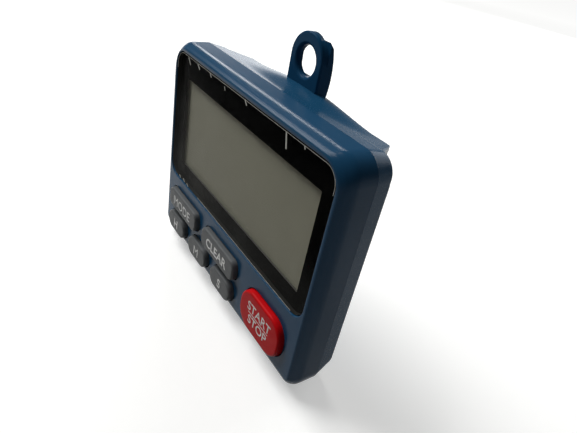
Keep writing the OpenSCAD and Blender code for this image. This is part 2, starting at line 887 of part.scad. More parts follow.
module clear_key() {
    color("#55585a")
    key_cap(clear_at, long_key_w, long_key_h, long_key_r);
}

module hour_key() {
    color("#55585a")
    key_cap(hour_at, short_key_w, short_key_h, short_key_r);
}

module minute_key() {
    color("#55585a")
    key_cap(minute_at, short_key_w, short_key_h, short_key_r);
}

module second_key() {
    color("#55585a")
    key_cap(second_at, short_key_w, short_key_h, short_key_r);
}

module start_stop_key() {
    color("#b02028")
    key_cap(start_at, start_key_w, start_key_h, start_key_r);
}

// Brass plate of the sounder
module piezo_plate() {
    color("#c9a24a")
    bar([0, piezo_z], piezo_r, piezo_r, piezo_d0, piezo_d1);
}

// Ceramic disc of the sounder
module piezo_ceramic() {
    color("#d8d4c8")
    bar([0, piezo_z], ceramic_r, ceramic_r, piezo_d0 - ceramic_t, piezo_d0);
}

// Contact springs from the board to the sounder
module buzzer_springs() {
    color("#b8bcc0") {
        translate([0, front_y + board_d1 + buzzer_wire_r + seat, piezo_z])
            rotate([-90, 0, 0])
                coil(buzzer_coil_r, buzzer_coil_r, buzzer_l0, buzzer_turns, buzzer_wire_r);
        translate([0, front_y + board_d1 + buzzer_wire_r + seat, piezo_z - (ceramic_r + piezo_r) / 2])
            rotate([-90, 0, 0])
                coil(buzzer_coil_r * 0.75, buzzer_coil_r * 0.75, buzzer_l1, buzzer_turns, buzzer_wire_r);
    }
}

// AAA cell with its nub to the right
module battery() {
    color("#6d7073")
    translate([0, front_y + cell_d, cell_z])
        rotate([0, 90, 0]) {
            translate([0, 0, cell_x0])
                cylinder(h = cell_l - nub_l, r = cell_r);
            translate([0, 0, cell_x1 - nub_l - eps])
                cylinder(h = nub_l + eps, r = nub_r);
        }
}

// Contact plate with a solder tail; side is 1 on the right and -1 on the left
module contact_plate(side) {
    x_out = side * well_w / 2;
    x_in = x_out - side * plate_t;
    x_tail = x_out - side * tail_w;
    block(
        [min(x_out, x_in), board_d1 + seat, well_z0 + 0.8],
        [max(x_out, x_in), door_d0 - 1, well_z1 - 0.8]
    );
    block(
        [min(x_out, x_tail), board_d1 + seat, well_z0 - well_t - tail_l],
        [max(x_out, x_tail), board_d1 + seat + plate_t, well_z0 + 0.8 + plate_t]
    );
}

module positive_contact() {
    color("#b8bcc0")
    contact_plate(1);
}

module negative_contact() {
    color("#b8bcc0")
    contact_plate(-1);
}

// Tapered spring that presses the cell
module battery_spring() {
    color("#c4c8cc")
    translate([-well_w / 2 + plate_t + coil_wire_r + seat, front_y + cell_d, cell_z])
        rotate([0, 90, 0])
            coil(coil_r0, coil_r1, battery_coil_l, coil_turns, coil_wire_r);
}

// Door that slides down out of the battery box
module battery_door() {
    rib_n = 5;
    rib_w = 0.6;
    rib_pitch = 1.3;
    color("#445c68")
    difference() {
        union() {
            block([-door_w / 2, door_d0, box_z0], [door_w / 2, box_d, door_z1]);
            block([-well_w / 2, door_d0, box_z0], [well_w / 2, tongue_d1, door_z1]);
        }
        // Finger grip
        for (i = [0 : rib_n - 1])
            block(
                [-loop_w / 2, box_d - rib_w / 2, box_z0 + 1.4 + i * rib_pitch],
                [loop_w / 2, box_d + 1, box_z0 + 1.4 + i * rib_pitch + rib_w]
            );
    }
}

// Four screws from the back into the front bosses
module case_screws() {
    slot_w = 0.5;
    slot_l = 1.3;
    color("#8f9498")
    for (at = case_screw_at)
        difference() {
            union() {
                bar(at, screw_r, screw_r, head_seat_d - screw_len, head_seat_d + eps);
                bar(at, screw_head_r, screw_head_r * 0.85, head_seat_d, head_seat_d + head_t);
            }
            block(
                [at[0] - slot_l, head_seat_d + head_t / 2, at[1] - slot_w / 2],
                [at[0] + slot_l, head_seat_d + head_t + 1, at[1] + slot_w / 2]
            );
            block(
                [at[0] - slot_w / 2, head_seat_d + head_t / 2, at[1] - slot_l],
                [at[0] + slot_w / 2, head_seat_d + head_t + 1, at[1] + slot_l]
            );
        }
}

// Two screws that hold the board
module board_screws() {
    color("#8f9498")
    for (at = board_screw_at) {
        bar(at, screw_r, screw_r, board_d1 - board_screw_len, board_d1 + eps);
        bar(at, screw_head_r * 0.85, screw_head_r * 0.85, board_d1, board_d1 + board_head_t);
    }
}

front_housing();
back_cover();
hanging_loop();
display_lens();
border_film();
lens_tape();
lcd_polarizer();
lcd_front_glass();
lcd_rear_glass();
lcd_reflector();
lcd_frame();
zebra_strip();
circuit_board();
controller_blob();
crystal();
boost_coil();
board_capacitors();
contact_pads();
key_mat();
mode_key();
clear_key();
hour_key();
minute_key();
second_key();
start_stop_key();
piezo_plate();
piezo_ceramic();
buzzer_springs();
battery();
positive_contact();
negative_contact();
battery_spring();
battery_door();
case_screws();
board_screws();
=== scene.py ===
"""Digital kitchen timer: a blue moulded case with a wide display, six keys and a hanging loop."""

import math

import bmesh
import bpy
from bpy.props import FloatProperty, FloatVectorProperty, PointerProperty
from mathutils import Euler, Matrix, Vector


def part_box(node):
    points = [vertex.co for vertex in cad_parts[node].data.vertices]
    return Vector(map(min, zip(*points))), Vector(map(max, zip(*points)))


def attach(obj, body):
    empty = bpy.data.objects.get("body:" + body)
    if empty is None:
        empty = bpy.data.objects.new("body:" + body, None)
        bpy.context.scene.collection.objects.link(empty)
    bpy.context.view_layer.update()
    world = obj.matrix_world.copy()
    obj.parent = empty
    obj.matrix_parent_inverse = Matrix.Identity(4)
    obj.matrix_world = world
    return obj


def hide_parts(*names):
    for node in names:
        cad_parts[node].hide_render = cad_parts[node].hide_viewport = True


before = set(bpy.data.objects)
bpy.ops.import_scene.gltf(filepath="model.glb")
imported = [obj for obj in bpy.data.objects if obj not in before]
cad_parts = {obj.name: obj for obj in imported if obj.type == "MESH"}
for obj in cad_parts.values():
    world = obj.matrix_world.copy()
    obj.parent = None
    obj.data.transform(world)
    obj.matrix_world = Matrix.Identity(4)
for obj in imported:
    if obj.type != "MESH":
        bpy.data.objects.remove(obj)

bl_info = {
    "name": "Digital kitchen timer",
    "version": (1, 0, 0),
    "blender": (4, 5, 0),
    "location": "View3D > Sidebar > Timer",
    "description": "Models an upright kitchen timer over its solids, with finishes, lamps and a camera",
    "category": "Add Mesh",
}

MM = 0.001
# Depths are counted back from the front plane of the case
FRONT_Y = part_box("front_housing")[0][1]
# Arc steps of a rounded corner
CORNER_STEPS = 10
# Stands a flat form up so that it faces the front
UPRIGHT = Matrix.Rotation(math.pi / 2, 4, "X")
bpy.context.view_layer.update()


def length(name, text, size):
    """A size in millimetres as a property in metres."""
    return FloatProperty(name=name, description=text, default=size * MM, unit="LENGTH", precision=5)


def linear(code):
    """Linear colour of an sRGB hex value."""
    values = [int(code[i:i + 2], 16) / 255 for i in (1, 3, 5)]
    return [v / 12.92 if v <= 0.04045 else ((v + 0.055) / 1.055) ** 2.4 for v in values] + [1.0]


def colour(name, text, code):
    """A colour property from an sRGB hex value."""
    return FloatVectorProperty(
        name=name, description=text, default=linear(code), size=4, min=0.0, max=1.0, subtype="COLOR"
    )


class TimerCase(bpy.types.PropertyGroup):
    """Sizes of the front half and the lens."""

    width: length("Width", "Width of the case", 68.2)
    height: length("Height", "Height of the case without the loop", 55.75)
    corner: length("Upper corner", "Radius of the upper outer corners", 4.7)
    corner_low: length("Lower corner", "Radius of the lower outer corners", 5.5)
    wall: length("Wall", "Side wall thickness", 1.2)
    low_wall: length("Bottom wall", "Thickness of the bottom wall", 2.4)
    front_wall: length("Front wall", "Thickness of the front face", 2.0)
    bevel_out: length("Bevel width", "How far the front bevel runs outward", 1.1)
    bevel_depth: length("Bevel depth", "How far the front bevel runs back", 2.3)
    chin: length("Chin", "Height of the lower edge of the front face", 4.0)
    face_corner: length("Face upper corner", "Radius of the upper corners of the front face", 6.0)
    face_low_corner: length("Face lower corner", "Radius of the lower corners of the front face", 1.2)
    seam: length("Seam depth", "Depth of the seam between the halves", 6.8)
    ridge: length("Ridge rounding", "Rounding where the face meets the bevel", 0.42)
    shoulder: length("Shoulder rounding", "Rounding where the bevel meets the flank", 1.1)
    bulge: length("Bevel bulge", "How far the bevel swells over a straight one", 0.05)
    seam_lip: length("Seam lip", "How far the front half laps into the seam groove", 0.24)
    seam_lap: length("Seam lap", "Thickness of the lip in the seam groove", 0.24)
    hole_round: length("Hole rounding", "Rounding where a hole meets the front face", 0.28)
    recess: length("Recess depth", "Depth of the lens recess", 1.45)
    lens_width: length("Lens width", "Width of the lens", 63.8)
    lens_low: length("Lens lower edge", "Height of the lower edge of the lens", 20.65)
    lens_top: length("Lens upper edge", "Height of the upper edge of the lens", 53.55)
    lens_corner: length("Lens corner", "Corner radius of the lens", 3.5)
    lens_gap: length("Lens gap", "Gap round the lens", 0.15)
    lens_sink: length("Lens sink", "How far the lens lies below the front plane", 0.2)
    lens_back: length("Lens back", "Depth of the back of the lens", 1.18)
    window_half: length("Window half width", "Half the width of the display opening", 28.6)
    window_low: length("Window lower edge", "Height of the lower edge of the display opening", 24.15)
    window_top: length("Window upper edge", "Height of the upper edge of the display opening", 48.15)
    window_corner: length("Window corner", "Corner radius of the display opening", 0.6)


class TimerCover(bpy.types.PropertyGroup):
    """Sizes of the back half, the door and the loop."""

    start: length("Front edge", "Depth of the front edge of the cover", 7.05)
    panel: length("Back panel", "Depth of the back panel", 11.6)
    slope: FloatProperty(
        name="Slope", description="How far the flanks fall in for each length of depth", default=0.24,
        min=0.0, max=1.0,
    )
    corner: length("Upper corner", "Radius of the upper corners at the back panel", 3.8)
    corner_low: length("Lower corner", "Radius of the lower corners at the back panel", 5.5)
    edge: length("Edge rounding", "Rounding of the edges of the cover", 0.5)
    box_corner: length("Box corner", "Rounding of the upper corners of the battery box", 0.9)
    door_edge: length("Door rounding", "Rounding of the edges of the door", 0.2)
    loop_edge: length("Loop rounding", "Rounding of the edges of the loop", 0.42)
    loop_hole: length("Loop hole rounding", "Rounding round the hole of the loop", 0.75)
    loop_worn: length("Loop wear", "How far the corner of the back layer of the loop is worn", 0.8)


class TimerKeys(bpy.types.PropertyGroup):
    """Sizes of the keys and their legends."""

    gap: length("Gap", "Gap round each key", 0.2)
    proud: length("Height", "How far the keys stand proud of the front plane", 1.33)
    print_lift: length("Print height", "Thickness of the printed legends", 0.02)
    hair: length("Print clearance", "How far the print stays inside the height of the keys", 0.001)
    back: length("Back", "Depth of the back of the keys", 2.85)
    edge: length("Edge width", "Width of the rounded edge of a key", 0.6)
    edge_depth: length("Edge depth", "Depth of the rounded edge of a key", 0.7)
    ear: length("Ear", "Width of the ear that holds a key at either side", 0.7)
    long_corner: length("Long key corner", "Corner radius of the long keys", 1.8)
    short_corner: length("Short key corner", "Corner radius of the short keys", 2.6)
    start_corner: length("Start key corner", "Corner radius of the start key", 4.4)
    letter: length("Letter height", "Height of the letters on the keys", 2.6)
    start_letter: length("Start letter height", "Height of the letters on the start key", 2.3)
    start_line: length("Start line spacing", "Distance of the two words from the line between them", 1.65)
    line_width: length("Start line length", "Length of the line between the two words", 8.0)
    line_weight: length("Start line weight", "Weight of the line between the two words", 0.2)


class TimerColours(bpy.types.PropertyGroup):
    """Colours of the finishes."""

    case: colour("Case", "Blue of the front half", "#1c4665")
    cover: colour("Cover", "Blue of the back half", "#1b4664")
    loop: colour("Loop", "Blue of the hanging loop", "#16405f")
    grey_key: colour("Grey keys", "Grey of the small keys", "#5d5f60")
    red_key: colour("Start key", "Red of the start key", "#c91016")
    legend: colour("Legends", "Pale print on the keys", "#f6f4f0")
    border: colour("Border", "Black print behind the lens", "#050505")
    display: colour("Display", "Grey of the display when it is off", "#9c9a89")


def add(tree, kind, inputs=None, **settings):
    """Adds a node with its settings; an input is given a value or a socket to link."""
    node = tree.nodes.new(kind)
    for key, value in settings.items():
        setattr(node, key, value)
    for key, value in (inputs or {}).items():
        if isinstance(value, bpy.types.NodeSocket):
            tree.links.new(value, node.inputs[key])
        else:
            node.inputs[key].default_value = value
    return node


def new_finish(name, **sockets):
    """A material with one shader and its constant sockets; gives the tree, the shader and the place."""
    finish = bpy.data.materials.new(name)
    finish.use_nodes = True
    tree = finish.node_tree
    shader = tree.nodes["Principled BSDF"]
    for key, value in sockets.items():
        shader.inputs[key.replace("_", " ")].default_value = value
    place = add(tree, "ShaderNodeTexCoord").outputs["Object"]
    return finish, tree, shader, place


def uneven(tree, shader, shade, amount, cloud, grit, smooth, rough):
    """Lets a cloudy noise tint the colour by an amount, and a fine one vary the roughness."""
    low = [c * (1 - amount) for c in shade[:3]] + [1.0]
    high = [min(1.0, c * (1 + amount)) for c in shade[:3]] + [1.0]
    tint = add(tree, "ShaderNodeMix", {0: cloud, 6: low, 7: high}, data_type="RGBA")
    gloss = add(tree, "ShaderNodeMapRange", {"Value": grit, "To Min": smooth, "To Max": rough})
    tree.links.new(tint.outputs[2], shader.inputs["Base Color"])
    tree.links.new(gloss.outputs["Result"], shader.inputs["Roughness"])


def moulded(name, shade, rough, grain=0.3 * MM, depth=0.004 * MM, cloud=7 * MM, amount=0.1, **sockets):
    """Moulded plastic: a fine spark grain under a slightly uneven gloss and colour."""
    # A real spark grain is about 0.1 mm; it is drawn coarser so that it shows
    finish, tree, shader, place = new_finish(name, **sockets)
    mottle = add(tree, "ShaderNodeTexNoise", {"Vector": place, "Scale": 1 / cloud, "Detail": 3.0})
    grit = add(tree, "ShaderNodeTexNoise", {"Vector": place, "Scale": 1 / grain, "Detail": 2.0})
    uneven(
        tree, shader, shade, amount, mottle.outputs["Fac"], grit.outputs["Fac"], rough * 0.8, rough * 1.2
    )
    bump = add(
        tree, "ShaderNodeBump", {"Height": grit.outputs["Fac"], "Strength": 0.6, "Distance": depth}
    )
    tree.links.new(bump.outputs["Normal"], shader.inputs["Normal"])
    return finish


def plated(name, shade, rough, stretch=(1.0, 1.0, 8.0)):
    """Drawn or plated metal: fine lines along one way in the gloss."""
    line = 1.2 * MM
    amount = 0.12
    finish, tree, shader, place = new_finish(name, Metallic=1.0)
    lines = add(tree, "ShaderNodeMapping", {"Vector": place, "Scale": stretch})
    mottle = add(
        tree, "ShaderNodeTexNoise", {"Vector": lines.outputs["Vector"], "Scale": 1 / line, "Detail": 4.0}
    )
    drawn = mottle.outputs["Fac"]
    uneven(tree, shader, shade, amount, drawn, drawn, rough * 0.7, rough * 1.4)
    return finish


def form(x, width, low, top, top_corner, low_corner, depth):
    """A rounded rectangle standing at one depth, as a vector so that forms can be blended."""
    return Vector((x, width, low, top, top_corner, low_corner, depth))


def grown(shape, out, back=0.0):
    """The form grown evenly and moved back."""
    return shape + Vector((0, 2 * out, -out, out, out, out, back))


def back_by(shape, depth):
    """The form moved back."""
    return shape + Vector((0, 0, 0, 0, 0, 0, depth))


def turned(before, edge, after, steps=4):
    """Forms that round the edge between the one before and the one after."""
    parts = [i / steps for i in range(steps + 1)]
    return [before * (1 - t) ** 2 + edge * (2 * t * (1 - t)) + after * t ** 2 for t in parts]


def rim(bm, shape):
    """The closed loop of edges of a form."""
    x, width, low, top, top_corner, low_corner, depth = shape
    known = set(bm.edges)
    middle = (low + top) / 2
    place = Matrix.Translation((x, FRONT_Y + depth, middle)) @ UPRIGHT
    sheet = bmesh.ops.create_grid(
        bm, x_segments=1, y_segments=1, size=0.5, matrix=place @ Matrix.Diagonal((width, top - low, 1, 1))
    )["verts"]
    upper = [v for v in sheet if v.co.z > middle]
    lower = [v for v in sheet if v.co.z <= middle]
    for verts, radius in ((upper, top_corner), (lower, low_corner)):
        bmesh.ops.bevel(
            bm, geom=verts, offset=radius, offset_type="OFFSET", segments=CORNER_STEPS, profile=0.5,
            affect="VERTICES", material=-1,
        )
    edges = [e for e in bm.edges if e not in known]
    bmesh.ops.delete(bm, geom=list({f for e in edges for f in e.link_faces}), context="FACES_ONLY")
    return edges


def skin(bm, shapes):
    """A skin through forms one after the other; gives the first and the last loop."""
    loops = [rim(bm, shape) for shape in shapes]
    for one, two in zip(loops, loops[1:]):
        bmesh.ops.bridge_loops(bm, edges=one + two)
    return loops[0], loops[-1]


def closed(bm, *loops):
    """Fills the flat field inside the first loop and outside the others."""
    bmesh.ops.triangle_fill(bm, use_beauty=True, edges=[e for loop in loops for e in loop])


def ring(bm, outer, inner):
    """A ring between two runs of forms, closed where both begin and where both end."""
    for near_edge, far_edge in zip(skin(bm, outer), skin(bm, inner)):
        closed(bm, near_edge, far_edge)


def thickened(bm, verts, thick):
    """Gives the sheet of these vertices a thickness."""
    bmesh.ops.solidify(bm, geom=list({f for v in verts for f in v.link_faces}), thickness=thick)


def softened(node, rounds):
    """A merged copy of a solid; each round is a test for its outer edges, a rounding and its steps."""
    sharp_angle = math.radians(30)
    bm = bmesh.new()
    bm.from_mesh(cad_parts[node].data)
    bmesh.ops.remove_doubles(bm, verts=bm.verts, dist=0.002 * MM)
    bmesh.ops.dissolve_limit(
        bm, angle_limit=math.radians(0.4), use_dissolve_boundaries=False, verts=bm.verts, edges=bm.edges
    )
    for chosen, offset, segments in rounds:
        sharp = [
            e for e in bm.edges
            if e.is_manifold and e.is_convex and e.calc_face_angle() > sharp_angle
            and chosen([(v.co - Vector((0, FRONT_Y, 0))) / MM for v in e.verts])
        ]
        bmesh.ops.bevel(
            bm, geom=sharp, offset=offset, offset_type="OFFSET", segments=segments, profile=0.5,
            affect="EDGES", material=-1, clamp_overlap=True,
        )
    return bm


def piece(bm, name, body, slot, finish, *nodes, turn_out=True):
    """Makes the mesh a piece that rides on a body and stands for its nodes."""
    if turn_out:
        bmesh.ops.recalc_face_normals(bm, faces=bm.faces)
    for face in bm.faces:
        face.smooth = True
    mesh = bpy.data.meshes.new(name)
    bm.to_mesh(mesh)
    bm.free()
    mesh.set_sharp_from_angle(angle=math.radians(32))
    mesh.materials.append(finish)
    thing = bpy.data.objects.new(name, mesh)
    bpy.context.scene.collection.objects.link(thing)
    even = thing.modifiers.new("Even shading", "WEIGHTED_NORMAL")
    even.keep_sharp = True
    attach(thing, body)
    if nodes:
        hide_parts(*nodes)
    return thing


def lens_form(case, depth):
    """The outline of the lens at a depth."""
    return form(
        0, case.lens_width, case.lens_low, case.lens_top, case.lens_corner, case.lens_corner, depth
    )


def window_form(case):
    """The outline of the display opening, on the floor of the recess."""
    return form(
        0, 2 * case.window_half, case.window_low, case.window_top, case.window_corner, case.window_corner,
        case.recess,
    )


def key_forms(keys):
    """The six outlines, from the solids without their ears, with the names of their nodes."""
    corners = {
        "mode_key": keys.long_corner, "clear_key": keys.long_corner, "hour_key": keys.short_corner,
        "minute_key": keys.short_corner, "second_key": keys.short_corner,
        "start_stop_key": keys.start_corner,
    }
    shapes = {}
    for node, corner in corners.items():
        low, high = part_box(node)
        middle = (low[0] + high[0]) / 2
        width = high[0] - low[0] - 2 * keys.ear
        shapes[node] = form(middle, width, low[2], high[2], corner, corner, 0.0)
    return shapes


class TIMER_OT_front(bpy.types.Operator):
    """Models the front half: bevelled shell with lens recess, display opening and key holes."""

    bl_idname = "timer.front"
    bl_label = "Front half"

    def outside(self, bm, case):
        """The face edge, the swelling bevel, the flank and the seam lip; gives the first and last loop."""
        ridge = form(
            0, case.width - 2 * case.bevel_out, case.chin, case.height - case.bevel_out,
            case.face_corner, case.face_low_corner, 0,
        )
        shoulder = form(0, case.width, 0, case.height, case.corner, case.corner_low, case.bevel_depth)
        seam = back_by(shoulder, case.seam - case.bevel_depth)
        end = back_by(seam, case.seam_lip)
        lip_round = 0.03 * MM
        run = shoulder - ridge
        bevel_run = math.hypot(case.bevel_out, case.bevel_depth)
        swell = Vector((0, 2 * case.bulge, -case.bulge, case.bulge, 0, 0, 0))
        return skin(
            bm,
            turned(grown(ridge, -case.ridge), ridge, ridge + run * (case.ridge / bevel_run), 5)
            + [ridge + run * t + swell * (4 * t * (1 - t)) for t in (0.3, 0.4, 0.5)]
            + turned(
                shoulder - run * (case.shoulder / bevel_run), shoulder, back_by(shoulder, case.shoulder), 5
            )
            + turned(back_by(end, -lip_round), end, grown(end, -lip_round), 3)
            + [grown(end, -case.seam_lap), grown(seam, -case.seam_lap)],
        )

    def hole(self, bm, case, shape, depth):
        """A hole with a rounded entry, down to a depth; gives the first and last loop."""
        entry = turned(grown(shape, case.hole_round), shape, back_by(shape, case.hole_round))
        return skin(bm, entry + [back_by(shape, depth)])

    def execute(self, context):
        case = context.scene.timer_case
        keys = context.scene.timer_keys
        colours = context.scene.timer_colours
        bm = bmesh.new()
        face_edge, seam_edge = self.outside(bm, case)
        hollow = form(
            0, case.width - 2 * case.wall, case.low_wall, case.height - case.wall,
            case.corner - case.wall, case.corner_low - case.wall, case.seam,
        )
        hollow_edge, inside = skin(bm, [hollow, back_by(hollow, case.front_wall - case.seam)])
        closed(bm, seam_edge, hollow_edge)
        window = window_form(case)
        first, ledge = self.hole(bm, case, grown(lens_form(case, 0), case.lens_gap), case.recess)
        opening, last = skin(bm, [window, back_by(window, case.front_wall - case.recess)])
        closed(bm, ledge, opening)
        rims = [first]
        backs = [last]
        for shape in key_forms(keys).values():
            first, last = self.hole(bm, case, grown(shape, keys.gap), case.front_wall)
            rims.append(first)
            backs.append(last)
        closed(bm, face_edge, *rims)
        closed(bm, inside, *backs)
        # ABS moulded in a spark-grained tool: a satin blue with a soft highlight on each rounded edge
        finish = moulded("Blue satin ABS", colours.case, 0.22, IOR=1.18)
        piece(bm, "case_front", "case", "blue_case", finish, "front_housing")
        return {"FINISHED"}


class TIMER_OT_cover(bpy.types.Operator):
    """Rounds the edges of the back half, the door and the loop, and smooths the sloping flanks."""

    bl_idname = "timer.cover"
    bl_label = "Back half, door and loop"

    def top_at(self, case, cover, depth):
        """Height of the sloping top at a depth."""
        return case.height - cover.slope * (depth - cover.start)

    def crown(self, bm, case, cover):
        """A skin over the sloping top that swells softly to the pad under the loop."""
        front, back, half = 8.0 * MM, 17.1 * MM, 24.4 * MM
        thick = 0.4 * MM
        # The pad is domed both ways, with its summit at one depth, and blends into the slope
        dome_along, dome_across = 94 * MM, 11 * MM
        summit, summit_depth = 55.7 * MM, 13 * MM
        blend = 1.3 * MM
        # At its own edges the skin dips under the slope, so that no step shows
        dip, lift = 0.003 * MM, 0.018 * MM
        side_fade, front_fade = 2.9 * MM, 1.5 * MM
        place = Matrix.Translation((0, FRONT_Y + (front + back) / 2, 0))
        sheet = bmesh.ops.create_grid(
            bm, x_segments=110, y_segments=40, size=0.5,
            matrix=place @ Matrix.Diagonal((2 * half, back - front, 1, 1)),
        )["verts"]
        for vert in sheet:
            depth = vert.co.y - FRONT_Y
            slope = self.top_at(case, cover, depth)
            along = dome_along - math.sqrt(dome_along ** 2 - vert.co.x ** 2)
            across = dome_across - math.sqrt(dome_across ** 2 - (depth - summit_depth) ** 2)
            pad = summit - along - across
            near = max(blend - abs(pad - slope), 0) / blend
            fade = min(1.0, (half - abs(vert.co.x)) / side_fade, (depth - front) / front_fade)
            vert.co.z = max(pad, slope) + near ** 2 * blend / 4 + lift * fade - dip
        thickened(bm, sheet, thick)

    def flank(self, bm, case, cover):
        """A smooth band round the cover from the seam to its back panel, fuller at the upper corners."""
        start, end = 7.06 * MM, 11.1 * MM
        hair = 0.002 * MM
        wide = 1.2 * MM
        fuller = Vector((0, 0, 0, 0, 1.7 * MM, 0, 0))
        fall = cover.slope * (cover.panel - cover.start)
        near = form(0, case.width, 0, case.height, case.corner, case.corner_low, cover.start)
        far = form(
            0, case.width - 2 * fall, fall, case.height - fall, cover.corner, cover.corner_low, cover.panel
        )
        run = [
            grown(near.lerp(far, (depth - cover.start) / (cover.panel - cover.start)), hair)
            for depth in (start, (start + end) / 2, end)
        ]
        edge = back_by(run[-1], cover.panel + hair - end)
        ring(
            bm, run + turned(run[-1], edge, grown(edge, -cover.edge), 3)[1:],
            [grown(run[0], -wide), grown(edge, -wide) + fuller],
        )

    def webs(self, bm, case, cover):
        """Webs that carry the sloping top past the sides of the battery box to the corners of the cover."""
        root, tip = 10.6 * MM, 17.35 * MM
        inside, root_side, tip_side = 23.5 * MM, 30.2 * MM, 25.6 * MM
        thick = 1.2 * MM
        lift = 0.003 * MM
        # The outer edge turns down over a band that narrows to the tip
        band, narrowing = 1.6 * MM, 0.6
        for side in (-1, 1):
            place = Matrix.Translation((side / 2, FRONT_Y + (root + tip) / 2, 0))
            sheet = bmesh.ops.create_grid(
                bm, x_segments=14, y_segments=12, size=0.5,
                matrix=place @ Matrix.Diagonal((1, tip - root, 1, 1)),
            )["verts"]
            for vert in sheet:
                depth = vert.co.y - FRONT_Y
                along = (depth - root) / (tip - root)
                reach = root_side + (tip_side - root_side) * along
                across = inside + (reach - inside) * abs(vert.co.x)
                over = max(across - reach + band * (1 - narrowing * along), 0)
                drop = cover.corner - math.sqrt(cover.corner ** 2 - over ** 2)
                vert.co.x = side * across
                vert.co.z = self.top_at(case, cover, depth) + lift - drop
            thickened(bm, sheet, thick)

    def back(self, case, cover, colours):
        """The back half with its rounded battery box and smooth flanks."""
        # Tests on the ends of an edge, in millimetres of x, depth and height
        box_side, box_back, box_top = 25.4, 17.6, 52.9
        panel = 11.6
        foot = 3
        side_band = 1.6
        close = 0.05

        def upper_side(ends):
            return all(
                abs(abs(p.x) - box_side) < close and p.z > box_top and p.y > panel - 2 * close for p in ends
            )

        def box_rim(ends):
            return all(p.y > box_back - close for p in ends) and (
                all(abs(p.x) > box_side - side_band for p in ends) or all(p.z > box_top for p in ends)
            )

        def panel_rim(ends):
            return all(abs(p.y - panel) < close and (abs(p.x) > box_side or p.z < foot) for p in ends)

        bm = softened(
            "back_cover",
            ((upper_side, cover.box_corner, 5), (box_rim, cover.edge, 3), (panel_rim, cover.edge, 3)),
        )
        self.crown(bm, case, cover)
        self.flank(bm, case, cover)
        self.webs(bm, case, cover)
        # The same ABS as the front, from a tool with less polish: a duller sheen
        finish = moulded("Blue satin ABS cover", colours.cover, 0.26, IOR=1.095)
        piece(bm, "case_back", "case", "blue_cover", finish, "back_cover")

    def door(self, cover, colours):
        """The sliding door with all its edges broken."""
        bm = softened("battery_door", [(lambda ends: True, cover.door_edge, 2)])
        # The same ABS, rubbed a little by sliding: a softer, paler sheen
        finish = moulded("Blue satin ABS door", colours.cover, 0.3, IOR=1.16)
        piece(bm, "battery_lid", "door", "blue_door", finish, "battery_door", turn_out=False)

    def loop(self, cover, colours):
        """The hanging loop, rounded in front and round its hole."""
        # Tests on the ends of an edge, in millimetres of x, depth and height
        front, back, top = 14.2, 15.9, 64.4
        hole_z, hole_r = 60.65, 3.4

        def hole_rim(ends):
            return all(p.y < front and math.hypot(p.x, p.z - hole_z) < hole_r for p in ends)

        bm = softened("hanging_loop", (
            (hole_rim, cover.loop_hole, 6),
            (lambda ends: all(p.y < front for p in ends), cover.loop_edge, 4),
            (lambda ends: all(p.y > back and p.z > top for p in ends), 0.5 * MM, 4),
            (lambda ends: all(p.y > back for p in ends), 0.2 * MM, 2),
        ))
        # The left corner of the squarer back layer is worn round behind the arch
        arch_z, arch_r, corner_r = 61.05 * MM, 5.6 * MM, 6.58 * MM
        left, layer = -2 * MM, 15.6 * MM
        for vert in bm.verts:
            out = math.hypot(vert.co.x, vert.co.z - arch_z) - arch_r
            behind = vert.co.y - FRONT_Y > layer
            if behind and vert.co.x < left and vert.co.z > arch_z and out > 0:
                vert.co += Vector((1, 0, -1)) * (cover.loop_worn * out / (corner_r - arch_r))
        # The loop is polished by handling, so its rounded edges shine more than the flanks
        finish = moulded("Blue polished ABS loop", colours.loop, 0.3, IOR=1.1)
        piece(bm, "hook_loop", "case", "blue_loop", finish, "hanging_loop", turn_out=False)

    def execute(self, context):
        cover = context.scene.timer_cover
        colours = context.scene.timer_colours
        self.back(context.scene.timer_case, cover, colours)
        self.door(cover, colours)
        self.loop(cover, colours)
        return {"FINISHED"}


